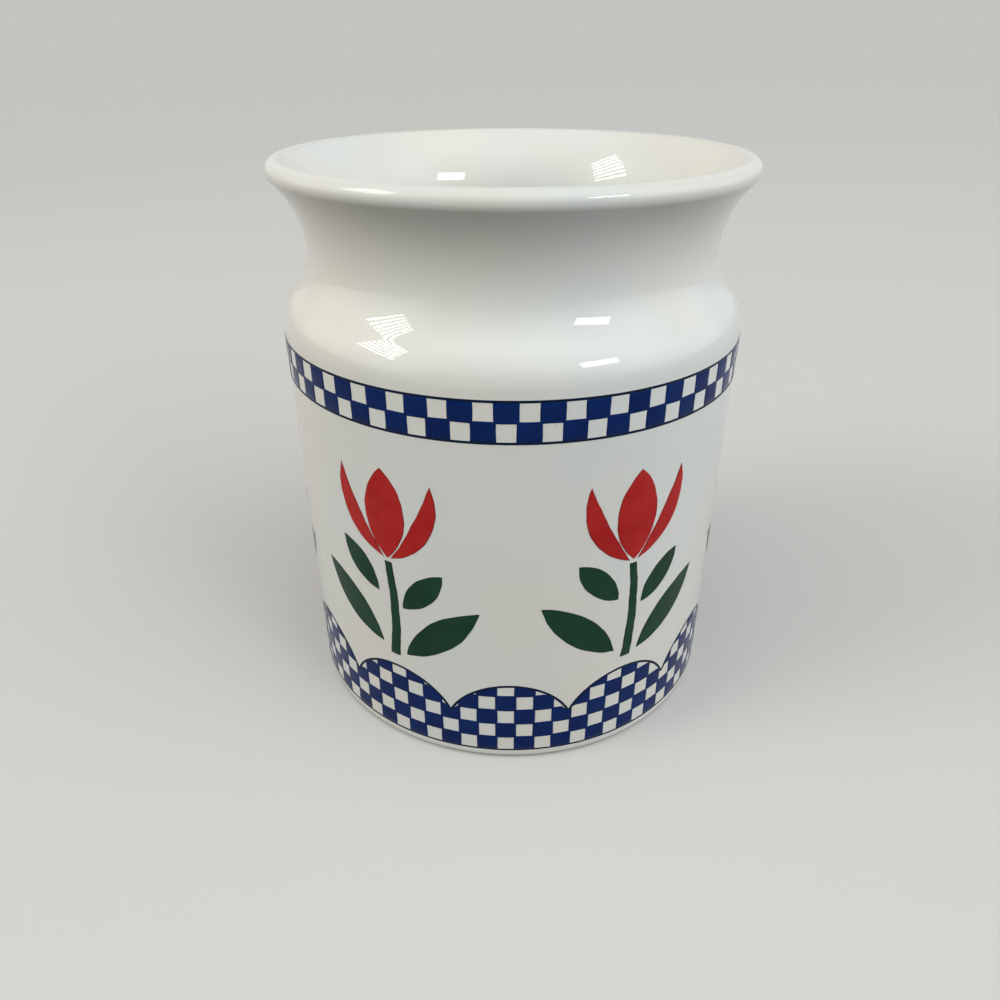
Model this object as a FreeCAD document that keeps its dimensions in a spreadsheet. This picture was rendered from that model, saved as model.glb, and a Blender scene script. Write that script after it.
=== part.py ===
import FreeCAD, Part
import math
import os

import Sketcher

# Utensil crock: a glazed stoneware pot with fired-on prints. +Z is up, and the origin is under its foot.

# Driving sizes. Lengths are in millimetres, leans in degrees, and shares are parts of one.
SIZES = {
    # pot: a straight wall, a shoulder that draws in to the neck, and a flare out to a round lip
    "body_radius": 68.0,
    "straight_height": 120.6,
    "shoulder_rise": 21.4,
    "neck_depth": 8.8,
    "flare_rise": 20.5,
    "lip_flare": 8.4,
    "lip_round": 2.9,
    "wall": 6.0,
    "floor_thickness": 7.0,
    "floor_corner": 9.0,
    # part of the S-shaped shoulder that its first arc takes, counted up from the wall
    "shoulder_share": 0.44,
    # foot, whose rounded edge the glaze follows for a share of its quarter turn
    "foot_edge": 2.4,
    "foot_width": 6.0,
    "foot_recess": 2.0,
    "recess_round": 1.0,
    "glaze_wrap_share": 0.5,
    # coats
    "glaze": 0.4,
    "enamel": 0.12,
    # checks, shared by the band and the border, and turned together about the axis
    "check_count": 38,
    "check_turn": 8.5,
    "window_width": 4.9,
    "window_height": 4.87,
    "row_gap": 0.6,
    # band under the shoulder
    "band_rows": 2,
    "band_drop": 1.66,
    "band_line": 0.6,
    # border at the foot
    "foot_strip": 1.1,
    "border_line": 0.5,
    "border_height": 26.4,
    "lobe_count": 12,
    "lobe_rise": 11.0,
    "lobe_line": 0.7,
    # sprigs between the border and the band
    "sprig_count": 6,
    "sprig_foot_clear": 4.0,
    "sprig_top_clear": 11.0,
    "stencil_gap": 1.2,
    "stem_top_width": 2.4,
    "stem_foot_width": 3.4,
    "stem_bow": 1.2,
    "petal_height": 28.0,
    "petal_width": 13.0,
    "side_petal_reach": 14.5,
    "side_petal_height": 25.5,
    "side_petal_swell": 6.5,
    "side_petal_hollow": 0.8,
    "long_leaf": 30.0,
    "long_leaf_width": 9.5,
    "long_leaf_lean": 48.0,
    "short_leaf": 19.0,
    "short_leaf_width": 7.5,
    "short_leaf_lean": 42.0,
    # where each leaf leaves the stem, counted up from its foot
    "right_long_leaf_share": 0.04,
    "left_long_leaf_share": 0.1,
    "right_short_leaf_share": 0.55,
    "left_short_leaf_share": 0.66,
    # the prisms that shape the prints start this far inside the wall's face and end this far outside it
    "prism_root": 12.0,
    "overrun": 4.0,
}

# Sizes worked out from the driving ones, each from those above it
WORKED = {
    "neck_height": "sizes.straight_height + sizes.shoulder_rise",
    "lip_centre": "neck_height + sizes.flare_rise",
    "total_height": "lip_centre + sizes.lip_round",
    "neck_radius": "sizes.body_radius - sizes.neck_depth",
    "lip_top_radius": "neck_radius + sizes.lip_flare - sizes.lip_round",
    "bore": "sizes.body_radius - sizes.wall",
    "neck_bore": "neck_radius - sizes.wall",
    "floor_top": "sizes.foot_recess + sizes.floor_thickness",
    "wall_face": "sizes.body_radius - sizes.glaze",
    "foot_outer": "wall_face - sizes.foot_edge",
    "foot_inner": "foot_outer - sizes.foot_width",
    # Two arcs that meet in an S between two upright tangents have radii that add up to
    # (rise squared + step squared) / (2 x step), and they meet on the line between the ends of the S.
    "shoulder_s": "(sizes.shoulder_rise^2 + sizes.neck_depth^2) / (2 * sizes.neck_depth)",
    "shoulder_arc": "shoulder_s * sizes.shoulder_share",
    "neck_arc": "shoulder_s - shoulder_arc",
    # An arc that leaves the neck upright and runs smoothly into the lip's round, whose centre is a step out from
    # the neck and a rise above it, has the radius (step squared + rise squared - round squared) / (2 x (step +
    # round)) below the lip, and the same with step - round inside it. They meet on the line through their centres.
    "flare_step": "lip_top_radius - neck_radius",
    "flare_squares": "flare_step^2 + sizes.flare_rise^2 - sizes.lip_round^2",
    "flare_arc": "flare_squares / (2 * (flare_step + sizes.lip_round))",
    "liner_step": "lip_top_radius - neck_bore",
    "liner_squares": "liner_step^2 + sizes.flare_rise^2 - sizes.lip_round^2",
    "liner_arc": "liner_squares / (2 * (liner_step - sizes.lip_round))",
    "glaze_wrap": "90 * sizes.glaze_wrap_share",
    "row_pitch": "sizes.window_height + sizes.row_gap",
    "check_angle": "360 / sizes.check_count",
    "band_high": "sizes.straight_height - sizes.band_drop",
    "band_field_high": "band_high - sizes.band_line",
    "band_field_low": "band_field_high - sizes.band_rows * row_pitch + sizes.row_gap",
    "band_low": "band_field_low - sizes.band_line",
    "border_low": "sizes.foot_edge + sizes.foot_strip",
    "border_field_low": "border_low + sizes.border_line",
    "border_high": "border_low + sizes.border_height",
    "lobe_half": "sizes.body_radius * sin(180 deg / sizes.lobe_count)",
    "lobe_radius": "(lobe_half^2 + sizes.lobe_rise^2) / (2 * sizes.lobe_rise)",
    "lobe_centre": "border_high - lobe_radius",
    "lobe_valley": "border_high - sizes.lobe_rise",
    "sprig_turn": "180 / sizes.sprig_count",
    "stem_foot": "border_high + sizes.sprig_foot_clear",
    "head_base": "band_low - sizes.sprig_top_clear - sizes.petal_height",
    "stem_top": "head_base - sizes.stencil_gap",
    "stem_length": "stem_top - stem_foot",
}

doc = FreeCAD.newDocument("utensil_crock")
sheet = doc.addObject("Spreadsheet::Sheet", "sizes")
for row, (name, value) in enumerate(SIZES.items(), start=1):
    sheet.set(f"A{row}", name)
    sheet.set(f"B{row}", str(value))
    sheet.setAlias(f"B{row}", name)
doc.recompute()

worked = doc.addObject("App::VarSet", "worked")
for name, formula in WORKED.items():
    worked.addProperty("App::PropertyFloat", name)
    worked.setExpression(name, formula)
doc.recompute()


def number(formula):
    """The value of a formula of the sheet's and the worked sizes."""
    return float(worked.evalExpression(formula))


def origin_feature(body, role):
    return next(item for item in body.Origin.OriginFeatures if item.Role == role)


def new_body(label):
    body = doc.addObject("PartDesign::Body", label)
    body.Label = label
    body.AllowCompound = True
    return body


def new_sketch(body, name, stand_off=None):
    """A sketch in the upright plane through the axis, or in front of it by a stand-off."""
    sketch = body.newObject("Sketcher::SketchObject", name)
    sketch.AttachmentSupport = [(origin_feature(body, "XZ_Plane"), "")]
    sketch.MapMode = "FlatFace"
    if stand_off:
        sketch.setExpression(".AttachmentOffset.Base.z", stand_off)
    return sketch


def arc_through(start, end, radius, side):
    """The minor arc from start to end, with its centre left (side 1) or right (side -1) of the chord."""
    chord = end - start
    half = chord.Length / 2
    left = FreeCAD.Vector(-chord.y, chord.x, 0).normalize()
    drop = math.sqrt(max(radius * radius - half * half, 0.0))
    middle = (start + end) * 0.5
    centre = middle + left * (side * drop)
    crest = centre - left * (side * radius)
    return Part.Arc(start, crest, end)


def draw_outline(sketch, outline):
    """Draws a closed outline of (x, y, bend) corners. A corner's bend is None for a straight edge to the next
    corner, or (radius, side) for an arc. Every corner and radius is bound to its formula."""
    corners = [FreeCAD.Vector(number(x), number(y), 0) for x, y, bend in outline]
    first = sketch.GeometryCount
    count = len(outline)
    for index, (x, y, bend) in enumerate(outline):
        start, end = corners[index], corners[(index + 1) % count]
        if bend is None:
            sketch.addGeometry(Part.LineSegment(start, end))
        else:
            radius, side = bend
            sketch.addGeometry(arc_through(start, end, number(radius), side))
    # an arc runs counter-clockwise, so one with its centre on the right has its start as its second end
    ends = [(2, 1) if bend and bend[1] < 0 else (1, 2) for x, y, bend in outline]
    for index, (x, y, bend) in enumerate(outline):
        here, after = first + index, first + (index + 1) % count
        sketch.addConstraint(
            Sketcher.Constraint("Coincident", here, ends[index][1], after, ends[(index + 1) % count][0]))
        for kind, formula, value in (("DistanceX", x, corners[index].x), ("DistanceY", y, corners[index].y)):
            made = sketch.addConstraint(Sketcher.Constraint(kind, -1, 1, here, ends[index][0], value))
            sketch.setExpression(f"Constraints[{made}]", formula)
        if bend is not None:
            made = sketch.addConstraint(Sketcher.Constraint("Radius", here, number(bend[0])))
            sketch.setExpression(f"Constraints[{made}]", bend[0])


def draw_outlines(sketch, outlines):
    for outline in outlines:
        draw_outline(sketch, outline)


def draw_disc(sketch, centre_x, centre_y, radius):
    """Draws a circle whose centre and radius are bound to their formulas."""
    centre = FreeCAD.Vector(number(centre_x), number(centre_y), 0)
    disc = sketch.addGeometry(Part.Circle(centre, FreeCAD.Vector(0, 0, 1), number(radius)))
    for made, formula in (
        (sketch.addConstraint(Sketcher.Constraint("DistanceX", -1, 1, disc, 3, centre.x)), centre_x),
        (sketch.addConstraint(Sketcher.Constraint("DistanceY", -1, 1, disc, 3, centre.y)), centre_y),
        (sketch.addConstraint(Sketcher.Constraint("Radius", disc, number(radius))), radius),
    ):
        sketch.setExpression(f"Constraints[{made}]", formula)


def turned(label, outline):
    """A body turned about the axis from the outline of its half section."""
    body = new_body(label)
    sketch = new_sketch(body, label + "_section")
    draw_outline(sketch, outline)
    turn = body.newObject("PartDesign::Revolution", label + "_turn")
    turn.Profile = sketch
    turn.ReferenceAxis = (sketch, ["V_Axis"])
    turn.Angle = 360
    body.Tip = turn
    return body


def between(start, end, share):
    return f"({start}) + (({end}) - ({start})) * ({share})"


def outer_surface(depth):
    """Corners of the pot's outside from the top of the straight wall to the top of the lip, a depth below the
    finished face."""
    wall = f"sizes.body_radius - {depth}"
    neck = f"worked.neck_radius - {depth}"
    lip = f"sizes.lip_round - {depth}"
    shoulder = f"worked.shoulder_arc - {depth}"
    share = f"({shoulder}) / worked.shoulder_s"
    lip_share = f"({lip}) / (worked.flare_arc + sizes.lip_round)"
    return [
        (wall, "sizes.straight_height", (shoulder, 1)),
        (between(wall, neck, share), between("sizes.straight_height", "worked.neck_height", share),
         (f"worked.neck_arc + {depth}", -1)),
        (neck, "worked.neck_height", (f"worked.flare_arc + {depth}", -1)),
        (between("worked.lip_top_radius", "worked.neck_radius + worked.flare_arc", lip_share),
         between("worked.lip_centre", "worked.neck_height", lip_share), (lip, 1)),
        ("worked.lip_top_radius", f"worked.total_height - {depth}", None),
    ]


def inner_surface(depth):
    """Corners of the pot's inside from the top of the lip down to the axis, a depth behind the finished
    face."""
    lip = f"sizes.lip_round - {depth}"
    neck = f"worked.neck_bore + {depth}"
    bore = f"worked.bore + {depth}"
    below_neck = f"worked.neck_arc + sizes.wall - {depth}"
    lip_share = f"-({lip}) / (worked.liner_arc - sizes.lip_round)"
    share = f"({below_neck}) / worked.shoulder_s"
    return [
        ("worked.lip_top_radius", f"worked.total_height - {depth}", (lip, 1)),
        (between("worked.lip_top_radius", "worked.neck_bore + worked.liner_arc", lip_share),
         between("worked.lip_centre", "worked.neck_height", lip_share), (f"worked.liner_arc - {depth}", 1)),
        (neck, "worked.neck_height", (below_neck, 1)),
        (between(neck, bore, share), between("worked.neck_height", "sizes.straight_height", share),
         (f"worked.shoulder_arc - sizes.wall + {depth}", -1)),
        (bore, "sizes.straight_height", None),
        (bore, "worked.floor_top + sizes.floor_corner", (f"sizes.floor_corner + {depth}", -1)),
        ("worked.bore - sizes.floor_corner", f"worked.floor_top - {depth}", None),
        ("0", f"worked.floor_top - {depth}", None),
    ]


def backwards(surface):
    """The same corners in the other order, with each bend moved to the corner where it then starts."""
    bends = [None] + [bend and (bend[0], -bend[1]) for x, y, bend in surface[:-1]]
    return [(x, y, bend) for (x, y, old), bend in zip(surface, bends)][::-1]


def stoneware_body():
    """The fired pot, with a dry foot ring round a shallow recess."""
    foot = [
        ("0", "sizes.foot_recess", None),
        ("worked.foot_inner - sizes.recess_round", "sizes.foot_recess", ("sizes.recess_round", -1)),
        ("worked.foot_inner", "sizes.foot_recess - sizes.recess_round", None),
        ("worked.foot_inner", "0", None),
        ("worked.foot_outer", "0", ("sizes.foot_edge", 1)),
        ("worked.wall_face", "sizes.foot_edge", None),
    ]
    return turned("stoneware_body", foot + outer_surface("sizes.glaze")[:-1] + inner_surface("sizes.glaze"))


def foot_wrap(depth):
    """Corner where the outer glaze ends on the foot's rounded edge, a depth below its face, and the arc from
    there up to the straight wall."""
    reach = f"sizes.foot_edge + sizes.glaze - {depth}"
    return [(f"worked.foot_outer + ({reach}) * cos(worked.glaze_wrap * 1 deg)",
             f"sizes.foot_edge - ({reach}) * sin(worked.glaze_wrap * 1 deg)", (reach, 1)),
            (f"sizes.body_radius - {depth}", "sizes.foot_edge", None)]


def outer_glaze():
    """The coat on the outside, from the foot's rounded edge to the top of the lip."""
    face, back = (foot_wrap(depth) + outer_surface(depth) for depth in ("0", "sizes.glaze"))
    return turned("outer_glaze", face + backwards(back))


def liner_glaze():
    """The coat inside, from the top of the lip down over the floor."""
    return turned("liner_glaze", inner_surface("0") + backwards(inner_surface("sizes.glaze")))


def base_glaze():
    """The coat on the flat of the recess inside the foot ring."""
    edge = "worked.foot_inner - sizes.recess_round"
    low, high = "sizes.foot_recess - sizes.glaze", "sizes.foot_recess"
    return turned("base_glaze", [("0", low, None), (edge, low, None), (edge, high, None), ("0", high, None)])


def enamel_ring(label, low, high):
    """A ring of enamel on the straight wall."""
    face, skin = "sizes.body_radius", "sizes.body_radius + sizes.enamel"
    return turned(label, [(face, low, None), (skin, low, None), (skin, high, None), (face, high, None)])


def prisms(label, draw, count, turn=None):
    """Prisms from inside the wall out past the enamel, repeated round the axis. The function draw puts their
    outlines into the sketch, and turn is the angle by which the whole ring is turned."""
    body = new_body(label)
    sketch = new_sketch(body, label + "_outline", "sizes.body_radius - sizes.prism_root")
    draw(sketch)
    pad = body.newObject("PartDesign::Pad", label + "_pad")
    pad.Profile = sketch
    pad.setExpression("Length", "sizes.prism_root + sizes.overrun")
    doc.recompute()
    ring = body.newObject("PartDesign::PolarPattern", label + "_ring")
    ring.Originals = [pad]
    ring.Axis = (origin_feature(body, "Z_Axis"), [""])
    ring.Angle = 360
    ring.setExpression("Occurrences", count)
    body.Tip = ring
    if turn:
        upright = FreeCAD.Vector(0, 0, 1)
        body.Placement = FreeCAD.Placement(FreeCAD.Vector(), FreeCAD.Rotation(upright, number(turn)))
        body.setExpression(".Placement.Rotation.Angle", turn)
    return body


def windows(label, low, rows):
    """The white windows of a check, in rows that are set over by half a check."""
    count, turn = "sizes.check_count", "sizes.check_turn"
    outlines = []
    for row in range(rows):
        middle = f"sizes.body_radius * sin({row % 2} * worked.check_angle / 2 * 1 deg)"
        left, right = f"{middle} - sizes.window_width / 2", f"{middle} + sizes.window_width / 2"
        floor = f"{low} + {row} * worked.row_pitch"
        top = f"{floor} + sizes.window_height"
        outlines.append([(left, floor, None), (right, floor, None), (right, top, None), (left, top, None)])
    return prisms(label, lambda sketch: draw_outlines(sketch, outlines), count, turn)


def boolean(kind, label, base, tool):
    made = doc.addObject(kind, label)
    made.Label = label
    made.Base = base
    made.Tool = tool
    return made


def band():
    """The two-row check band, open to the lines that run along its edges."""
    field = enamel_ring("band_field", "worked.band_field_low", "worked.band_field_high")
    rows = int(number("sizes.band_rows"))
    whites = windows("band_windows", "worked.band_field_low", rows)
    return [
        boolean("Part::Cut", "check_band", field, whites),
        enamel_ring("band_upper_line", "worked.band_field_high", "worked.band_high"),
        enamel_ring("band_lower_line", "worked.band_low", "worked.band_field_low"),
    ]


def lobed(label, sleeve, inset):
    """The border inside its lobed edge, drawn in by an inset: discs make the lobes, and a ring joins them
    below the valleys."""
    height, reach = "worked.lobe_centre", f"worked.lobe_radius - {inset}"
    discs = prisms(label + "_discs", lambda sketch: draw_disc(sketch, "0", height, reach), "sizes.lobe_count")
    lobes = boolean("Part::Common", label + "_lobes", sleeve, discs)
    ring = enamel_ring(label + "_ring", "worked.border_field_low", f"worked.lobe_valley - {inset}")
    return boolean("Part::Fuse", label, ring, lobes)


def border():
    """The border's check field, its lobed edge line and its straight lower line."""
    sleeve = enamel_ring("border_sleeve", "worked.border_field_low", "worked.border_high + sizes.overrun")
    whole = lobed("border_whole", sleeve, "0")
    field = lobed("border_field", sleeve, "sizes.lobe_line")
    rows = math.ceil(number("(worked.border_high - worked.border_field_low) / worked.row_pitch"))
    whites = windows("border_windows", "worked.border_field_low", rows)
    return [
        boolean("Part::Cut", "border_checks", field, whites),
        boolean("Part::Cut", "border_edge_line", whole, field),
        enamel_ring("border_lower_line", "worked.border_low", "worked.border_field_low"),
    ]


def lens(foot_x, foot_y, length, width, lean):
    """A pointed leaf: two equal arcs between its foot and its tip, leaning to the right of upright."""
    tip_x = f"{foot_x} + {length} * sin({lean} * 1 deg)"
    tip_y = f"{foot_y} + {length} * cos({lean} * 1 deg)"
    radius = f"({length}^2 + {width}^2) / (4 * {width})"
    return [(foot_x, foot_y, (radius, 1)), (tip_x, tip_y, (radius, 1))]


def petals():
    """A flower head of one upright petal and two that open to its sides."""
    base = "worked.head_base"
    top = f"{base} + sizes.side_petal_height"
    foot, tip = "sizes.stencil_gap", "sizes.side_petal_reach"
    chord_squared = f"(({tip} - {foot})^2 + sizes.side_petal_height^2)"
    swell = f"({chord_squared} / 4 + sizes.side_petal_swell^2) / (2 * sizes.side_petal_swell)"
    hollow = f"({chord_squared} / 4 + sizes.side_petal_hollow^2) / (2 * sizes.side_petal_hollow)"
    return [
        lens("0", base, "sizes.petal_height", "sizes.petal_width", "0"),
        [(foot, base, (swell, 1)), (tip, top, (hollow, -1))],
        [(f"-{foot}", base, (hollow, -1)), (f"-{tip}", top, (swell, 1))],
    ]


def stem():
    """A stem that bows a little to one side and thickens towards its foot."""
    bend = "(worked.stem_length^2 / 4 + sizes.stem_bow^2) / (2 * sizes.stem_bow)"
    foot, top = "worked.stem_foot", "worked.stem_top"
    foot_half, top_half = "sizes.stem_foot_width / 2", "sizes.stem_top_width / 2"
    return [(f"-{foot_half}", foot, None), (foot_half, foot, (bend, 1)),
            (top_half, top, None), (f"-{top_half}", top, (bend, -1))]


def leaves():
    """Two long leaves low on the stem and two short ones above them, clear of the stem by a stencil's gap."""
    away = "(sizes.stem_foot_width / 2 + sizes.stem_bow + sizes.stencil_gap)"
    outlines = []
    for side, sign in (("right", ""), ("left", "-")):
        for kind in ("long_leaf", "short_leaf"):
            foot_y = f"worked.stem_foot + worked.stem_length * sizes.{side}_{kind}_share"
            outlines.append(lens(f"{sign}{away}", foot_y, f"sizes.{kind}", f"sizes.{kind}_width",
                                 f"({sign}sizes.{kind}_lean)"))
    return outlines


def sprig_print(label, outlines):
    """One colour of the sprigs, cut from a sleeve of enamel between the border and the band."""
    sleeve = enamel_ring(label + "_sleeve", "worked.border_high", "worked.band_low")
    shapes = prisms(label + "_prisms", lambda sketch: draw_outlines(sketch, outlines),
                    "sizes.sprig_count", "worked.sprig_turn")
    return boolean("Part::Common", label, sleeve, shapes)


nodes = [
    stoneware_body(),
    outer_glaze(),
    liner_glaze(),
    base_glaze(),
    *band(),
    *border(),
    sprig_print("petal_prints", petals()),
    sprig_print("leaf_prints", leaves()),
    sprig_print("stem_prints", [stem()]),
]
doc.recompute()

failed = [item.Label for item in doc.Objects if {"Invalid", "Error"} & set(item.State)]
if failed:
    raise RuntimeError("these did not recompute: " + ", ".join(failed))
for node in nodes:
    if node.Shape.isNull() or not node.Shape.isValid():
        raise RuntimeError(node.Label + " has no valid shape")

os.makedirs("parts", exist_ok=True)
for node in nodes:
    node.Shape.exportStep(f"parts/{node.Label}.step")
    print(node.Label, len(node.Shape.Solids), "solids", round(node.Shape.Volume, 1), "mm3")
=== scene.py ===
import bpy
import math
import numpy as np
from mathutils import Matrix, Vector


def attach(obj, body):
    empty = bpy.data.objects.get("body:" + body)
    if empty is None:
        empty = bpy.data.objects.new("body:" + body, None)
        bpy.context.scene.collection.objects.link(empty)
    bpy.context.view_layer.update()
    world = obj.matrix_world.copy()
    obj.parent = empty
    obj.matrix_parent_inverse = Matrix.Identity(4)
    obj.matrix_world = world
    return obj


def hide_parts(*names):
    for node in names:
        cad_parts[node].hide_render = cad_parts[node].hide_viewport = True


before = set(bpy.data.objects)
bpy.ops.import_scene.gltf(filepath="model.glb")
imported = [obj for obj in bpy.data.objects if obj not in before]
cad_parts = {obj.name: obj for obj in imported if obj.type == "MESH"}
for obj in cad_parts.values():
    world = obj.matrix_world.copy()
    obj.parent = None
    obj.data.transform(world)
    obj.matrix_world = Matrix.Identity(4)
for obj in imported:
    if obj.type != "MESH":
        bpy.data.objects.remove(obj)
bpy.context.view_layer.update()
mm = 0.001
fullTurn = 2.0 * math.pi
tiny = 1e-6                          # in millimetres; a length below this counts as none
print("frame loaded:", len(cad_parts), "nodes")


# Meshes: every shape is worked out as whole arrays and put in with foreach_set

def newPiece(name, points, faces, material, slot=None, nodes=(), fromEdge=None):
    # points is an (n, 3) array in metres; faces is a list of (k, 3) and (k, 4) index arrays
    mesh = bpy.data.meshes.new(name)
    loops = np.concatenate([f.ravel() for f in faces]).astype(np.int32)
    sizes = np.concatenate([np.full(len(f), f.shape[1], np.int32) for f in faces])
    starts = np.concatenate([[0], np.cumsum(sizes)[:-1]]).astype(np.int32)
    mesh.vertices.add(len(points))
    mesh.vertices.foreach_set("co", np.ascontiguousarray(points, np.float32).ravel())
    mesh.loops.add(len(loops))
    mesh.loops.foreach_set("vertex_index", loops)
    mesh.polygons.add(len(sizes))
    mesh.polygons.foreach_set("loop_start", starts)
    mesh.polygons.foreach_set("loop_total", sizes)
    mesh.polygons.foreach_set("use_smooth", np.ones(len(sizes), bool))
    if fromEdge is not None:
        depths = mesh.attributes.new("fromEdge", "FLOAT", "POINT")
        depths.data.foreach_set("value", fromEdge.astype(np.float32))
    mesh.update(calc_edges=True)
    mesh.validate()
    mesh.materials.append(material)
    piece = bpy.data.objects.new(name, mesh)
    bpy.context.scene.collection.objects.link(piece)
    if slot:
        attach(piece, "root")
    if nodes:
        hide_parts(*nodes)
    print("piece", name, len(points), "points", len(sizes), "faces")
    return piece


def aroundAxis(radius, height, angle):
    # a point at an angle from the front (-Y) towards +X, at a radius from the axis and a height
    return np.stack([radius * np.sin(angle), -radius * np.cos(angle), height + 0.0 * angle], axis=-1)


def gridFaces(index, wanted=None):
    # quads between the neighbours of an index grid; a quad with two corners in one point becomes a
    # triangle, and one with fewer than three different corners is dropped
    corners = np.stack([index[:-1, :-1], index[:-1, 1:], index[1:, 1:], index[1:, :-1]], axis=-1)
    corners = corners.reshape(-1, 4) if wanted is None else corners[wanted]
    same = corners == np.roll(corners, -1, axis=1)
    single = same.sum(axis=1) == 1
    return [corners[~same.any(axis=1)], corners[single][~same[single]].reshape(-1, 3)]


def usedOnly(count, faces):
    # the points that a face names, and the faces in the numbers that these points then have
    used = np.unique(np.concatenate([f.ravel() for f in faces]))
    place = np.full(count, -1)
    place[used] = np.arange(len(used))
    return used, [place[f] for f in faces]


def sCurve(startRadius, startHeight, endRadius, endHeight, firstShare, count):
    # two arcs between upright tangents: their radii add up to (rise^2 + step^2) / (2 step), each turns by
    # the same angle, and the first has firstShare of the sum
    step, rise = endRadius - startRadius, endHeight - startHeight
    both = (rise ** 2 + step ** 2) / (2.0 * abs(step))
    turn = math.acos(1.0 - abs(step) / both)
    side, climb = math.copysign(1.0, step), math.copysign(1.0, rise)
    first, second = both * firstShare, both * (1.0 - firstShare)
    out = np.linspace(0.0, turn, count)
    back = out[::-1][1:]
    radii = np.concatenate([startRadius + side * first * (1.0 - np.cos(out)),
                            endRadius - side * second * (1.0 - np.cos(back))])
    heights = np.concatenate([startHeight + climb * first * np.sin(out),
                              endHeight - climb * second * np.sin(back)])
    return np.stack([radii, heights], axis=1)


def arc(centreRadius, centreHeight, radius, startAngle, endAngle, count):
    # part of a circle in the half section; angles are in degrees from outwards, turning upwards
    turn = np.radians(np.linspace(startAngle, endAngle, count))
    return np.stack([centreRadius + radius * np.cos(turn), centreHeight + radius * np.sin(turn)], axis=1)


def line(start, end, count):
    return np.linspace(start, end, count)


def joined(*stretches):
    # one path from stretches that meet end to end, with the shared ends kept once
    path = np.concatenate(stretches)
    keep = np.ones(len(path), bool)
    keep[1:] = np.linalg.norm(np.diff(path, axis=0), axis=1) > tiny
    return path[keep]


def inset(path, depth):
    # the same path moved to the left of its direction of travel, which is into the pot
    way = np.gradient(path, axis=0)
    way /= np.linalg.norm(way, axis=1)[:, None]
    moved = path + depth * np.stack([-way[:, 1], way[:, 0]], axis=1)
    moved[np.abs(path[:, 0]) < tiny, 0] = 0.0
    return moved


# Pot: the sizes of the turned shape in millimetres, and its finished faces

pot = dict(
    bodyRadius=68.0, straightHeight=120.6, shoulderRise=21.4, neckDepth=8.8, shoulderShare=0.44,
    flareRise=20.5, lipFlare=8.4, lipRound=2.9, wall=6.0, floorThickness=7.0, floorCorner=9.0,
    footEdge=2.4, footWidth=6.0, footRecess=2.0, recessRound=1.0, footSoft=0.3,
    glaze=0.4, wrapAngle=45.0,                   # the glaze ends this far down the foot's rounded edge
    recessSoft=0.36,                             # rounding of the glaze's edge in the foot's recess
    swell=0.06, swellTurns=(2, 3, 5), swellRows=(0.021, 0.034, 0.055),   # slight unevenness of the cast wall
)
steps = dict(                                    # points round the axis and along each stretch of a section
    around=240, wall=24, shoulder=14, flare=18, lip=32, bore=14, floorCorner=12, floor=10,
    wrap=8, glazeEnd=8, recess=10, recessRound=6, ringSide=3, ringSoft=5, ring=6, footEdge=12,
    recessGlaze=14, recessSoft=6, recessBack=4,
)
neckRadius = pot["bodyRadius"] - pot["neckDepth"]
neckHeight = pot["straightHeight"] + pot["shoulderRise"]
lipCentre = neckHeight + pot["flareRise"]
lipTopRadius = neckRadius + pot["lipFlare"] - pot["lipRound"]
bore = pot["bodyRadius"] - pot["wall"]
neckBore = neckRadius - pot["wall"]
floorTop = pot["footRecess"] + pot["floorThickness"]
footOuter = pot["bodyRadius"] - pot["glaze"] - pot["footEdge"]
footInner = footOuter - pot["footWidth"]


def unevenness(angle, height):
    # a mean of three slow waves round and up the wall, never above zero, so the pot stays in its true size
    waves = zip(pot["swellTurns"], pot["swellRows"])
    wave = sum(np.sin(turns * angle + rows * height + turns) for turns, rows in waves)
    return pot["swell"] * (wave / len(pot["swellTurns"]) - 1.0)


def flareArc(neck, away):
    # radius of an arc that leaves the neck upright and runs smoothly into the lip's round, whose centre is a
    # step out and a rise up: (step^2 + rise^2 - round^2) / (2 (step + round)), or step - round inside the
    # pot; also the angle of the line through both centres
    step, rise, lip = lipTopRadius - neck, pot["flareRise"], pot["lipRound"]
    radius = (step ** 2 + rise ** 2 - lip ** 2) / (2.0 * (step + away * lip))
    return radius, math.degrees(math.atan2(rise, step - radius))


def upperFace():
    # the finished face from the foot of the straight wall over the lip, down the inside and over the floor
    body, shoulder, corner = pot["bodyRadius"], pot["straightHeight"], pot["floorCorner"]
    flare, meets = flareArc(neckRadius, 1.0)
    liner, leaves = flareArc(neckBore, -1.0)
    return joined(
        line((body, pot["footEdge"]), (body, shoulder), steps["wall"]),
        sCurve(body, shoulder, neckRadius, neckHeight, pot["shoulderShare"], steps["shoulder"]),
        arc(neckRadius + flare, neckHeight, flare, 180.0, meets, steps["flare"]),
        arc(lipTopRadius, lipCentre, pot["lipRound"], meets - 180.0, leaves, steps["lip"]),
        arc(neckBore + liner, neckHeight, liner, leaves, 180.0, steps["flare"]),
        sCurve(neckBore, neckHeight, bore, shoulder, 1.0 - pot["shoulderShare"], steps["shoulder"]),
        line((bore, shoulder), (bore, floorTop + corner), steps["bore"]),
        arc(bore - corner, floorTop + corner, corner, 0.0, -90.0, steps["floorCorner"]),
        line((bore - corner, floorTop), (0.0, floorTop), steps["floor"]),
    )


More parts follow.
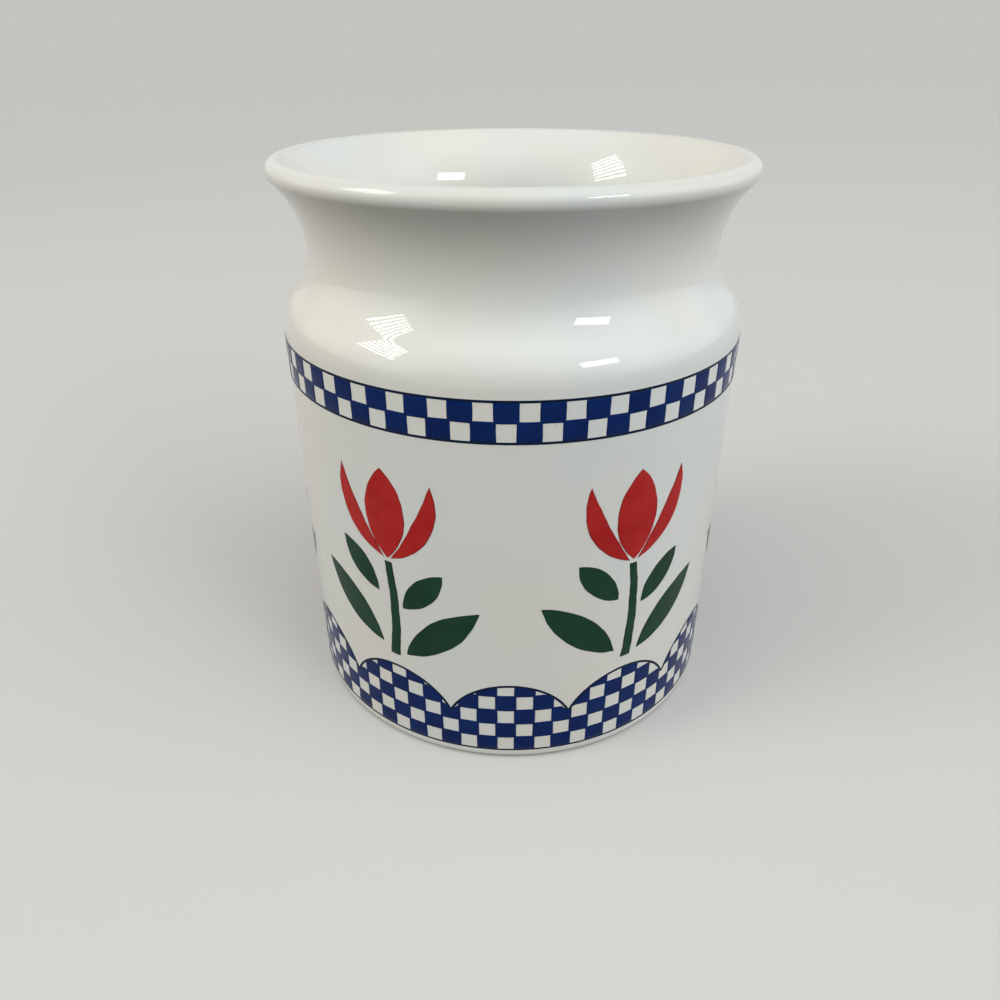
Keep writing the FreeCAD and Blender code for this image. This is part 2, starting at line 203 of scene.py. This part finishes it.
def turned(path, closed=False):
    # carries a half section round the axis, with the wall's slight unevenness added to its radius
    angle = np.linspace(0.0, fullTurn, steps["around"], endpoint=False)[None, :]
    radius, height = path[:, :1], path[:, 1:]
    away = np.clip(radius / pot["bodyRadius"], 0.0, 1.0) ** 2
    uneven = radius + away * unevenness(angle, height)
    points = aroundAxis(uneven * mm, height * mm, angle).reshape(-1, 3)
    index = np.arange(len(points)).reshape(len(path), -1)
    index = np.where(radius < tiny, index[:, :1], index)
    index = np.concatenate([index, index[:, :1]], axis=1)
    index = np.concatenate([index, index[:1]]) if closed else index
    used, faces = usedOnly(len(points), gridFaces(index))
    return points[used], faces


# Materials: colours are linear, patterns read object coordinates in metres

def newMaterial(name, roughness, specular=0.5):
    material = bpy.data.materials.new(name)
    material.use_nodes = True
    nodes, links = material.node_tree.nodes, material.node_tree.links
    shader = nodes["Principled BSDF"]
    shader.inputs["Roughness"].default_value = roughness
    shader.inputs["Specular IOR Level"].default_value = specular
    return material, nodes, links, shader


def node(nodes, kind, **values):
    # a new node; each value goes to the setting of that name, or else to the input
    made = nodes.new(kind)
    for name, value in values.items():
        if hasattr(made, name):
            setattr(made, name, value)
        else:
            made.inputs[name].default_value = value
    return made


def noise(nodes, links, place, scale, detail, roughness=0.5):
    made = node(nodes, "ShaderNodeTexNoise", Scale=scale, Detail=detail, Roughness=roughness)
    links.new(place.outputs["Object"], made.inputs["Vector"])
    return made.outputs["Fac"]


def ramp(nodes, links, value, low, high, outLow=0.0, outHigh=1.0):
    # a smooth step from one end of a range to the other
    made = node(nodes, "ShaderNodeMapRange", interpolation_type="SMOOTHSTEP")
    for name, number in zip(("From Min", "From Max", "To Min", "To Max"), (low, high, outLow, outHigh)):
        made.inputs[name].default_value = number
    links.new(value, made.inputs["Value"])
    return made.outputs["Result"]


def clouds(nodes, links, place, look):
    fine = noise(nodes, links, place, look["cloudScale"], look["cloudDetail"])
    return ramp(nodes, links, fine, look["cloudLow"], look["cloudHigh"])


def blendColours(nodes, links, share, first, second):
    # first and second are colours or outputs; share runs from the first to the second. The mix node has its
    # colours at inputs 6 and 7 and output 2
    made = node(nodes, "ShaderNodeMix", data_type="RGBA")
    links.new(share, made.inputs["Factor"])
    for socket, colour in ((made.inputs[6], first), (made.inputs[7], second)):
        if isinstance(colour, tuple):
            socket.default_value = (*colour, 1.0)
        else:
            links.new(colour, socket)
    return made.outputs[2]


def bump(nodes, links, height, distance):
    made = node(nodes, "ShaderNodeBump", Strength=1.0, Distance=distance)
    links.new(height, made.inputs["Height"])
    return made.outputs["Normal"]


def glazeMaterial():
    look = dict(
        cool=(0.69, 0.71, 0.69), warm=(0.72, 0.70, 0.64),
        cloudScale=14.0, cloudDetail=2.0, cloudLow=0.35, cloudHigh=0.65,
        pitScale=420.0, pitSize=0.10, pitHeart=0.05, pitColour=(0.46, 0.43, 0.39),
        pitPlaces=84.0, pitDetail=3.0, pitNone=0.645, pitAll=0.665,      # noise that picks the pits
        peelScale=160.0, peelDetail=1.0, peelHeight=0.000008, roughness=0.012,
    )
    material, nodes, links, shader = newMaterial("whiteGlaze", look["roughness"])
    place = nodes.new("ShaderNodeTexCoord")
    clouded = blendColours(nodes, links, clouds(nodes, links, place, look), look["cool"], look["warm"])
    # pits: small dots at scattered cells, kept only where a second noise is high
    cells = node(nodes, "ShaderNodeTexVoronoi", Scale=look["pitScale"])
    links.new(place.outputs["Object"], cells.inputs["Vector"])
    dot = ramp(nodes, links, cells.outputs["Distance"], look["pitSize"], look["pitHeart"])
    picked = noise(nodes, links, place, look["pitPlaces"], look["pitDetail"])
    pits = node(nodes, "ShaderNodeMath", operation="MULTIPLY")
    links.new(dot, pits.inputs[0])
    links.new(ramp(nodes, links, picked, look["pitNone"], look["pitAll"]), pits.inputs[1])
    colour = blendColours(nodes, links, pits.outputs[0], clouded, look["pitColour"])
    links.new(colour, shader.inputs["Base Color"])
    peel = noise(nodes, links, place, look["peelScale"], look["peelDetail"])
    links.new(bump(nodes, links, peel, look["peelHeight"]), shader.inputs["Normal"])
    return material


def enamelMaterial(name, deep, light, roughness, rimTone=None):
    # fired colour: two close tones in soft clouds, a fine stipple in the gloss and a slightly rippled face;
    # a print with a rim tone is darker in a thin line along its edge
    look = dict(
        cloudScale=120.0, cloudDetail=4.0, cloudLow=0.3, cloudHigh=0.7,
        stippleScale=1400.0, stippleDetail=2.0, stippleLow=0.3, stippleHigh=0.7, smoothest=0.8, roughest=1.3,
        rippleScale=420.0, rippleDetail=2.0, rippleHeight=0.00001, specular=0.08, rimWidth=0.35,
    )
    material, nodes, links, shader = newMaterial(name, roughness, look["specular"])
    place = nodes.new("ShaderNodeTexCoord")
    colour = blendColours(nodes, links, clouds(nodes, links, place, look), deep, light)
    if rimTone:
        fromEdge = node(nodes, "ShaderNodeAttribute", attribute_name="fromEdge")
        nearRim = ramp(nodes, links, fromEdge.outputs["Fac"], look["rimWidth"], 0.0)
        colour = blendColours(nodes, links, nearRim, colour, rimTone)
    links.new(colour, shader.inputs["Base Color"])
    stipple = noise(nodes, links, place, look["stippleScale"], look["stippleDetail"])
    gloss = ramp(nodes, links, stipple, look["stippleLow"], look["stippleHigh"],
                 roughness * look["smoothest"], roughness * look["roughest"])
    links.new(gloss, shader.inputs["Roughness"])
    ripple = noise(nodes, links, place, look["rippleScale"], look["rippleDetail"])
    links.new(bump(nodes, links, ripple, look["rippleHeight"]), shader.inputs["Normal"])
    return material


def stonewareMaterial():
    look = dict(
        pale=(0.74, 0.70, 0.62), dark=(0.60, 0.54, 0.45), roughness=0.85, specular=0.25,
        cloudScale=60.0, cloudDetail=5.0, cloudLow=0.3, cloudHigh=0.7,
        gritScale=900.0, gritDetail=4.0, gritRoughness=0.7, gritHeight=0.00012,
    )
    material, nodes, links, shader = newMaterial("dryStoneware", look["roughness"], look["specular"])
    place = nodes.new("ShaderNodeTexCoord")
    colour = blendColours(nodes, links, clouds(nodes, links, place, look), look["pale"], look["dark"])
    links.new(colour, shader.inputs["Base Color"])
    grit = noise(nodes, links, place, look["gritScale"], look["gritDetail"], look["gritRoughness"])
    links.new(bump(nodes, links, grit, look["gritHeight"]), shader.inputs["Normal"])
    return material


whiteGlaze = glazeMaterial()
dryStoneware = stonewareMaterial()
blueEnamel = enamelMaterial(
    "blueEnamel", deep=(0.0006, 0.0132, 0.091), light=(0.0012, 0.0185, 0.116), roughness=0.10)
navyEnamel = enamelMaterial(
    "navyEnamel", deep=(0.001, 0.008, 0.028), light=(0.002, 0.012, 0.040), roughness=0.12)
redEnamel = enamelMaterial(
    "redEnamel", deep=(0.40, 0.014, 0.014), light=(0.46, 0.022, 0.020), roughness=0.12,
    rimTone=(0.20, 0.008, 0.010))
greenEnamel = enamelMaterial(
    "greenEnamel", deep=(0.008, 0.042, 0.022), light=(0.013, 0.054, 0.030), roughness=0.14,
    rimTone=(0.004, 0.022, 0.012))
print("materials made")


# Coats: one glaze over the outside, lip and inside, the bare pot under it, and the glaze in the recess

def glazeCoat():
    # the end of the coat on the foot is a half circle across its thickness
    foot, half = pot["footEdge"], pot["glaze"] / 2.0
    middle = foot + half
    last = -pot["wrapAngle"] + math.degrees(half / middle)
    centre = arc(footOuter, foot, middle, last, last, 1)[0]
    end = arc(*centre, half, last - 180.0, last, steps["glazeEnd"])
    wrapFace = arc(footOuter, foot, foot + pot["glaze"], last, 0.0, steps["wrap"])
    wrapBack = arc(footOuter, foot, foot, 0.0, last, steps["wrap"])
    face = upperFace()
    path = joined(end, wrapFace, face, inset(face, pot["glaze"])[::-1], wrapBack)[1:]
    newPiece("glazeCoat", *turned(path, closed=True), whiteGlaze, "white_glaze",
             ("outer_glaze", "liner_glaze"))


def barePot():
    edge, recess, soft = pot["recessRound"], pot["footRecess"], pot["footSoft"]
    path = joined(
        line((0.0, recess), (footInner - edge, recess), steps["recess"]),
        arc(footInner - edge, recess - edge, edge, 90.0, 0.0, steps["recessRound"]),
        line((footInner, recess - edge), (footInner, soft), steps["ringSide"]),
        arc(footInner + soft, soft, soft, 180.0, 270.0, steps["ringSoft"]),
        line((footInner + soft, 0.0), (footOuter, 0.0), steps["ring"]),
        arc(footOuter, pot["footEdge"], pot["footEdge"], -90.0, 0.0, steps["footEdge"]),
        inset(upperFace(), pot["glaze"]),
    )
    newPiece("barePot", *turned(path), dryStoneware, "stoneware", ("stoneware_body",))


def recessGlaze():
    edge, soft = footInner - pot["recessRound"], pot["recessSoft"]
    low, high = pot["footRecess"] - pot["glaze"], pot["footRecess"]
    path = joined(
        line((0.0, low), (edge - soft, low), steps["recessGlaze"]),
        arc(edge - soft, low + soft, soft, -90.0, 0.0, steps["recessSoft"]),
        line((edge, high), (0.0, high), steps["recessBack"]),
    )
    newPiece("recessGlaze", *turned(path), whiteGlaze, "white_glaze", ("base_glaze",))


glazeCoat()
barePot()
recessGlaze()
print("coats made")


# Prints: thin enamel on the straight wall, in angle and height, with a back just inside the glaze

enamel = dict(
    lift=0.12, sink=0.04,                        # how far a print's face stands out, and its back lies in
    fieldShare=0.85, rimShare=0.4,               # parts of the lift in a check field and at any edge
    middleShare=0.75, edgeReach=0.5,             # a sprig's print is thinner away from its edge
    lineSteps=9, linePower=4, ringPoints=720,
)
ringAngles = np.linspace(0.0, fullTurn, enamel["ringPoints"], endpoint=False)[None, :]


def printSheet(name, angle, height, lift, faces, material, slot, nodes, fromEdge=None):
    # the sheet follows the wall a lift above it; its rim stands lower, and walls join it to a copy under the
    # glaze. An edge that only one face has is part of the rim
    count = len(angle)
    edges = [np.stack([f, np.roll(f, -1, axis=1)], axis=-1).reshape(-1, 2) for f in faces]
    edges = np.concatenate(edges).astype(np.int64)
    keys = edges.min(axis=1) * count + edges.max(axis=1)
    first, uses = np.unique(keys, return_index=True, return_counts=True)[1:]
    rim = edges[first[uses == 1]]
    lift = lift + np.zeros(count)
    lift[rim.ravel()] *= enamel["rimShare"]
    wall = pot["bodyRadius"] + unevenness(angle, height)
    points = np.concatenate([aroundAxis((wall + lift) * mm, height * mm, angle),
                             aroundAxis((wall - enamel["sink"]) * mm, height * mm, angle)])
    walls = np.stack([rim[:, 1], rim[:, 0], rim[:, 0] + count, rim[:, 1] + count], axis=-1)
    used, faces = usedOnly(len(points), [*faces, *(f[:, ::-1] + count for f in faces), walls])
    fromEdge = None if fromEdge is None else np.tile(fromEdge, 2)[used]
    newPiece(name, points[used], faces, material, slot, nodes, fromEdge)


def enamelLine(name, low, high, nodes):
    # a bead between two edges that go round the wall: across it the lift falls off with a power of the
    # distance from its middle
    across = np.linspace(0.0, 1.0, enamel["lineSteps"])[:, None]
    fall = (1.0 - enamel["rimShare"]) * (2.0 * across - 1.0) ** enamel["linePower"]
    under = [[-enamel["sink"]]]
    lift = np.concatenate([under, enamel["lift"] * (1.0 - fall), under])
    across = np.concatenate([across[:1], across, across[-1:]])
    height = low + (high - low) * across
    radius = pot["bodyRadius"] + unevenness(ringAngles, height) + lift
    points = aroundAxis(radius * mm, height * mm, ringAngles + 0.0 * height).reshape(-1, 3)
    index = np.arange(len(points)).reshape(len(across), -1)
    index = np.concatenate([index, index[:, :1]], axis=1)
    faces = gridFaces(np.concatenate([index, index[:1]]))
    newPiece(name, points, faces, navyEnamel, "navy_enamel", nodes)


checks = dict(
    count=38, turn=8.5, windowWidth=4.9, windowHeight=4.87, rowGap=0.6,
    rim=0.1, across=5,                           # how near a line runs beside an edge, and lines in a window
    wobble=0.05,                                 # how far the lines stray, in waves along and up the wall
    driftWaves=((23.0, 0.9, 0.0), (41.0, -1.3, 1.0)),
    climbWaves=((31.0, -0.7, 0.0), (53.0, 1.1, 2.0)),
)
rowPitch = checks["windowHeight"] + checks["rowGap"]


def stray(waves, angle, height):
    # a mean of sine waves, each with its turns round the wall, its rise per millimetre and its start
    total = sum(np.sin(turns * angle + rise * height + start) for turns, rise, start in waves)
    return checks["wobble"] * total / len(waves)


def checkSheet(name, low, rows, topOf, nodes):
    # a field with white windows, whose rows are set over by half a check: the lines of the grid run along
    # the windows' edges and just beside them, are held down below the field's upper edge, and end in a line
    # along it
    body, rim, tall = pot["bodyRadius"], checks["rim"], checks["windowHeight"]
    pitch = fullTurn / checks["count"]
    half, beside = math.asin(checks["windowWidth"] / 2.0 / body), rim / body
    inWindow = np.linspace(-half, half, checks["across"])
    oneWindow = np.concatenate([inWindow, [half + beside, pitch / 2.0 - half - beside]])
    onePeriod = np.concatenate([oneWindow, oneWindow + pitch / 2.0])
    columns = np.arange(checks["count"])[:, None] * pitch + onePeriod + math.radians(checks["turn"])
    columns = columns.ravel()
    oneRow = [0.0, rim, tall / 3.0, tall * 2.0 / 3.0, tall - rim, tall, tall + rim, rowPitch - rim]
    lines = (low + np.arange(rows)[:, None] * rowPitch + np.array(oneRow)).ravel()[:, None]
    top = topOf(columns)[None, :]
    height = np.concatenate([np.minimum(lines, top - rim), top])
    # lines that are held down share one point in each column, so the quads between them fall away
    held = np.argmax(lines >= top - rim - tiny, axis=0)[None, :]
    column = np.arange(len(columns))[None, :]
    index = np.minimum(np.arange(len(lines))[:, None], held) * len(columns) + column
    index = np.concatenate([index, column + len(lines) * len(columns)])
    index = np.concatenate([index, index[:, :1]], axis=1)
    # a quad is white where its middle is in a window of its row
    above = np.concatenate([(lines[:-1] + lines[1:]) / 2.0 + 0.0 * top, top - rim]) - low
    place = column % len(onePeriod) - np.floor(above / rowPitch) % 2 * len(oneWindow)
    white = (above % rowPitch < tall) & (place >= 0) & (place < len(inWindow) - 1)
    angle = columns[None, :] + 0.0 * height
    drift, climb = stray(checks["driftWaves"], angle, height), stray(checks["climbWaves"], angle, height)
    lift = enamel["lift"] * enamel["fieldShare"]
    printSheet(name, (angle + drift / body).ravel(), (height + climb).ravel(), lift,
               gridFaces(index, ~white), blueEnamel, "blue_enamel", nodes)


band = dict(rows=2, drop=1.66, line=0.6, overlap=0.08)
bandHigh = pot["straightHeight"] - band["drop"]
bandFieldHigh = bandHigh - band["line"]
bandFieldLow = bandFieldHigh - band["rows"] * rowPitch + checks["rowGap"]
bandLow = bandFieldLow - band["line"]


def checkBand():
    overlap = band["overlap"]
    checkSheet("checkBand", bandFieldLow, band["rows"], lambda angle: bandFieldHigh + 0.0 * angle,
               ("check_band",))
    enamelLine("bandUpperLine", bandFieldHigh - overlap, bandHigh, ("band_upper_line",))
    enamelLine("bandLowerLine", bandLow, bandFieldLow + overlap, ("band_lower_line",))


border = dict(strip=1.1, line=0.5, height=26.4, lobes=12, rise=11.0, lobeLine=0.7, overlap=0.08)
borderLow = pot["footEdge"] + border["strip"]
borderFieldLow = borderLow + border["line"]
borderHigh = borderLow + border["height"]
lobeHalf = pot["bodyRadius"] * math.sin(math.pi / border["lobes"])
lobeRadius = (lobeHalf ** 2 + border["rise"] ** 2) / (2.0 * border["rise"])


def lobedEdge(angle, inward):
    # upper edge of the border, drawn in by a distance: each lobe is the top of a circle that is flat in
    # front of its own middle, and between the lobes the edge keeps to a ring at the valleys
    apart = fullTurn / border["lobes"]
    side = pot["bodyRadius"] * np.sin(angle - np.round(angle / apart) * apart)
    reach = np.maximum((lobeRadius - inward) ** 2 - side ** 2, 0.0)
    lobes = np.where(reach > 0.0, borderHigh - lobeRadius + np.sqrt(reach), 0.0)
    return np.maximum(lobes, borderHigh - border["rise"] - inward)


def checkBorder():
    inward, overlap = border["lobeLine"], border["overlap"]
    rows = math.ceil((borderHigh - borderFieldLow) / rowPitch)
    checkSheet("borderChecks", borderFieldLow, rows, lambda angle: lobedEdge(angle, inward),
               ("border_checks",))
    enamelLine("borderEdgeLine", lobedEdge(ringAngles, inward + overlap), lobedEdge(ringAngles, 0.0),
               ("border_edge_line",))
    enamelLine("borderLowerLine", borderLow, borderFieldLow + overlap, ("border_lower_line",))


sprig = dict(
    count=6, footClear=4.0, topClear=11.0, gap=1.2,
    stemTop=2.4, stemFoot=3.4, stemBow=1.2,
    petalHeight=28.0, petalWidth=13.0, sideReach=14.5, sideHeight=25.5, sideSwell=6.5, sideHollow=0.8,
    longLeaf=(30.0, 9.5, 48.0), shortLeaf=(19.0, 7.5, 42.0),     # length, width and lean in degrees
    longShares=(0.04, 0.10), shortShares=(0.55, 0.66),           # place on the stem, right and left
    along=48, insets=(0.0, 0.15, 0.45, 0.9), middle=5,           # lines of each print's grid
    wobble=0.07, sprigPhase=1.7, shapePhase=2.3,                 # how far a cut edge strays, in waves
    sideWaves=((1.0, 0.0, 0.55, 1.0), (0.6, -0.4, 1.37, 2.1)),
    riseWaves=((1.0, 0.61, 0.0, 1.3), (0.6, 1.21, 0.5, 0.7)),
)
stemFoot = borderHigh + sprig["footClear"]
headBase = bandLow - sprig["topClear"] - sprig["petalHeight"]
stemTop = headBase - sprig["gap"]


def bowed(start, end, bow):
    # an arc of a circle from start to end that rises by bow to the left of the straight line between them
    start, end = np.array(start), np.array(end)
    half = np.linalg.norm(end - start) / 2.0
    radius = (half ** 2 + bow ** 2) / (2.0 * abs(bow))
    tight = sprig["insets"][1] / (2.0 * half)
    place = np.concatenate([[0.0], np.linspace(tight, 1.0 - tight, sprig["along"]), [1.0]])
    turn = (2.0 * place[:, None] - 1.0) * math.asin(half / radius)
    ahead = (end - start) / (2.0 * half)
    left = np.array([-ahead[1], ahead[0]])
    rise = math.copysign(1.0, bow) * (radius * np.cos(turn) - math.sqrt(radius ** 2 - half ** 2))
    return (start + end) / 2.0 + radius * np.sin(turn) * ahead + rise * left


def leafShape(foot, length, width, lean):
    lean = math.radians(lean)
    tip = (foot[0] + length * math.sin(lean), foot[1] + length * math.cos(lean))
    return bowed(foot, tip, width / 2.0), bowed(foot, tip, -width / 2.0)


def mirrored(shape):
    left, right = shape
    return right * [-1.0, 1.0], left * [-1.0, 1.0]


def petalShapes():
    foot, tip = (sprig["gap"], headBase), (sprig["sideReach"], headBase + sprig["sideHeight"])
    side = bowed(foot, tip, -sprig["sideHollow"]), bowed(foot, tip, -sprig["sideSwell"])
    return [leafShape((0.0, headBase), sprig["petalHeight"], sprig["petalWidth"], 0.0), side, mirrored(side)]


def leafShapes():
    away = sprig["stemFoot"] / 2.0 + sprig["stemBow"] + sprig["gap"]
    shapes = []
    for leaf, shares in (("longLeaf", "longShares"), ("shortLeaf", "shortShares")):
        heights = [stemFoot + (stemTop - stemFoot) * share for share in sprig[shares]]
        right, left = (leafShape((away, height), *sprig[leaf]) for height in heights)
        shapes += [right, mirrored(left)]
    return shapes


def stemShapes():
    wide, narrow, bow = sprig["stemFoot"] / 2.0, sprig["stemTop"] / 2.0, sprig["stemBow"]
    left = bowed((-wide, stemFoot), (-narrow, stemTop), -bow)
    return [(left, bowed((wide, stemFoot), (narrow, stemTop), -bow))]


def shapeGrid(left, right):
    # a grid across a shape between its two edges, with lines at set distances inside each edge
    width = np.linalg.norm(right - left, axis=1)[:, None]
    insets = np.array(sprig["insets"])[None, :]
    near = np.minimum(insets / np.maximum(width, tiny), np.arange(insets.size) / (2.0 * insets.size))
    step = np.linspace(0.0, 1.0, sprig["middle"] + 2)[None, 1:-1]
    middle = near[:, -1:] + (1.0 - 2.0 * near[:, -1:]) * step
    share = np.concatenate([near, middle, 1.0 - near[:, ::-1]], axis=1)[..., None]
    place = left[:, None, :] * (1.0 - share) + right[:, None, :] * share
    lengths = np.linalg.norm(np.diff((left + right) / 2.0, axis=0), axis=1)
    run = np.concatenate([[0.0], np.cumsum(lengths)])[:, None]
    across = np.minimum(share, 1.0 - share)[..., 0] * width
    fromEdge = np.minimum(across, np.minimum(run, run[-1] - run))
    index = np.arange(share.size).reshape(share.shape[:2])
    index = np.where(width < tiny, index[:, :1], index)
    return place, fromEdge, index


def edgeStray(waves, x, y, phase):
    # a sum of sine waves, each with its share, its rise per millimetre across and up, and its part of the
    # shape's phase
    total = sum(share * np.sin(across * x + up * y + part * phase) for share, across, up, part in waves)
    return sprig["wobble"] * total


def sprigPrint(name, shapes, material, slot, nodes):
    # every shape of one colour on every sprig; waves of its own move each edge a little, as on a cut stencil
    angles, heights, depths, faces, count = [], [], [], [], 0
    for number in range(sprig["count"]):
        middle = fullTurn * (number + 0.5) / sprig["count"]
        for order, (left, right) in enumerate(shapes):
            place, fromEdge, index = shapeGrid(left, right)
            x, y = place[..., 0], place[..., 1]
            phase = sprig["sprigPhase"] * number + sprig["shapePhase"] * order
            side = x + edgeStray(sprig["sideWaves"], x, y, phase)
            angles.append((middle + np.arcsin(side / pot["bodyRadius"])).ravel())
            heights.append((y + edgeStray(sprig["riseWaves"], x, y, phase)).ravel())
            depths.append(fromEdge.ravel())
            faces += [f + count for f in gridFaces(index)]
            count += index.size
    angle, height, fromEdge = (np.concatenate(parts) for parts in (angles, heights, depths))
    edge = (1.0 - enamel["middleShare"]) * np.exp(-fromEdge / enamel["edgeReach"])
    lift = enamel["lift"] * (enamel["middleShare"] + edge)
    printSheet(name, angle, height, lift, faces, material, slot, nodes, fromEdge)


checkBand()
checkBorder()
sprigPrint("redPetals", petalShapes(), redEnamel, "red_enamel", ("petal_prints",))
sprigPrint("greenLeaves", leafShapes(), greenEnamel, "green_enamel", ("leaf_prints",))
sprigPrint("greenStems", stemShapes(), greenEnamel, "green_enamel", ("stem_prints",))
print("prints made")


# Camera: the photograph's place, angle and lens; the picture is square

def makeCamera():
    view = dict(place=(0.0, -0.2395, 0.1916), down=30.095, left=0.896, roll=-0.146, lens=28.49, sensor=36.0,
                near=0.01, far=50.0)
    data = bpy.data.cameras.new("camera")
    data.lens, data.sensor_width = view["lens"], view["sensor"]
    data.clip_start, data.clip_end = view["near"], view["far"]
    camera = bpy.data.objects.new("camera", data)
    bpy.context.scene.collection.objects.link(camera)
    turn = (Matrix.Rotation(math.radians(view["left"]), 4, "Z")
            @ Matrix.Rotation(math.radians(90.0 - view["down"]), 4, "X")
            @ Matrix.Rotation(math.radians(view["roll"]), 4, "Z"))
    camera.matrix_world = Matrix.Translation(Vector(view["place"])) @ turn
    bpy.context.scene.camera = camera


makeCamera()
print("camera made")


# Stage: pale floor, a soft sky, a window with a blind and a small panel

def paleFloor():
    # the floor is pale to the camera and in reflections, and throws less light back up at the pot
    floor = dict(half=14.0, roughness=1.0, specular=0.0,
                 colour=(0.63, 0.62, 0.605), bounce=(0.05, 0.046, 0.042))
    sides = np.array([-floor["half"], floor["half"]])
    points = np.stack(np.broadcast_arrays(sides[None, :], sides[:, None], 0.0), axis=-1).reshape(-1, 3)
    faces = gridFaces(np.arange(len(points)).reshape(-1, 2))
    material, nodes, links, shader = newMaterial("paleFloor", floor["roughness"], floor["specular"])
    path = nodes.new("ShaderNodeLightPath")
    seen = path.outputs["Is Camera Ray"]
    for kind in ("Is Glossy Ray", "Is Transmission Ray"):
        either = node(nodes, "ShaderNodeMath", operation="MAXIMUM")
        links.new(seen, either.inputs[0])
        links.new(path.outputs[kind], either.inputs[1])
        seen = either.outputs[0]
    colour = blendColours(nodes, links, seen, floor["bounce"], floor["colour"])
    links.new(colour, shader.inputs["Base Color"])
    newPiece("paleFloor", points, faces, material)


def towards(azimuth, elevation):
    # the direction at an angle from the front towards +X, and an angle above the floor
    turn, climb = math.radians(azimuth), math.radians(elevation)
    return Vector((math.sin(turn) * math.cos(climb), -math.cos(turn) * math.cos(climb), math.sin(climb)))


def softSky():
    # the light is a sum of soft round lobes, each of which falls off to the least light at its width from
    # its middle; the camera sees a plain pale sky
    sky = dict(
        seen=(0.552, 0.548, 0.525), least=(0.006, 0.006, 0.006), width=48.0,
        lobes=(                                  # azimuth, elevation and colour
            (-80.0, 8.0, (1.38, 1.40, 1.30)),
            (-90.0, 38.0, (0.28, 0.26, 0.25)),
            (-45.0, 38.0, (0.64, 0.58, 0.50)),
            (0.0, 38.0, (0.24, 0.26, 0.26)),
            (45.0, 38.0, (1.06, 1.13, 1.15)),
            (90.0, 38.0, (0.34, 0.34, 0.35)),
            (80.0, 8.0, (1.28, 1.35, 1.40)),
            (145.0, 8.0, (0.72, 0.73, 0.74)),
            (-145.0, 8.0, (0.74, 0.73, 0.70)),
            (0.0, 90.0, (0.28, 0.28, 0.28)),
        ),
    )
    world = bpy.data.worlds.new("softSky")
    bpy.context.scene.world = world
    world.use_nodes = True
    nodes, links = world.node_tree.nodes, world.node_tree.links
    place = nodes.new("ShaderNodeTexCoord")
    edge = math.cos(math.radians(sky["width"]))
    total = None
    for azimuth, elevation, colour in sky["lobes"]:
        near = node(nodes, "ShaderNodeVectorMath", operation="DOT_PRODUCT")
        links.new(place.outputs["Generated"], near.inputs[0])
        near.inputs[1].default_value = towards(azimuth, elevation)
        share = ramp(nodes, links, near.outputs["Value"], edge, 1.0)
        lobe = blendColours(nodes, links, share, sky["least"], colour)
        if total:
            both = node(nodes, "ShaderNodeVectorMath", operation="ADD")
            links.new(total, both.inputs[0])
            links.new(lobe, both.inputs[1])
            lobe = both.outputs["Vector"]
        total = lobe
    seen = nodes.new("ShaderNodeLightPath").outputs["Is Camera Ray"]
    links.new(blendColours(nodes, links, seen, total, sky["seen"]), nodes["Background"].inputs["Color"])


def lamp(name, place, away, width, height, brightness):
    # a flat lamp that faces against away; its watts are brightness times pi times its area
    data = bpy.data.lights.new(name, "AREA")
    data.shape, data.size, data.size_y = "RECTANGLE", width, height
    data.energy = brightness * math.pi * width * height
    made = bpy.data.objects.new(name, data)
    made.visible_camera = False
    bpy.context.scene.collection.objects.link(made)
    made.matrix_world = Matrix.Translation(place) @ away.to_track_quat("Z", "Y").to_matrix().to_4x4()


def blindWindow():
    # stacked slats in an upright frame on the left
    window = dict(azimuth=-105.0, distance=1.2, near=0.46, far=1.28, low=0.77, high=1.62,
                  slats=7, fill=0.6, brightness=8.0)
    away, along = towards(window["azimuth"], 0.0), towards(window["azimuth"] + 90.0, 0.0)
    width, pitch = window["far"] - window["near"], (window["high"] - window["low"]) / window["slats"]
    middle = away * window["distance"] + along * (window["near"] + window["far"]) / 2.0
    for slat in range(window["slats"]):
        place = middle + Vector((0.0, 0.0, window["low"] + (slat + 0.5) * pitch))
        lamp("windowSlat", place, away, width, pitch * window["fill"], window["brightness"])


def sidePanel():
    panel = dict(azimuth=43.5, elevation=27.5, distance=1.5, above=0.13, width=0.46, height=0.24,
                 brightness=9.0)
    away = towards(panel["azimuth"], panel["elevation"])
    place = away * panel["distance"] + Vector((0.0, 0.0, panel["above"]))
    lamp("sidePanel", place, away, panel["width"], panel["height"], panel["brightness"])


paleFloor()
softSky()
blindWindow()
sidePanel()
bpy.context.scene.view_settings.view_transform = "Standard"
print("stage made")
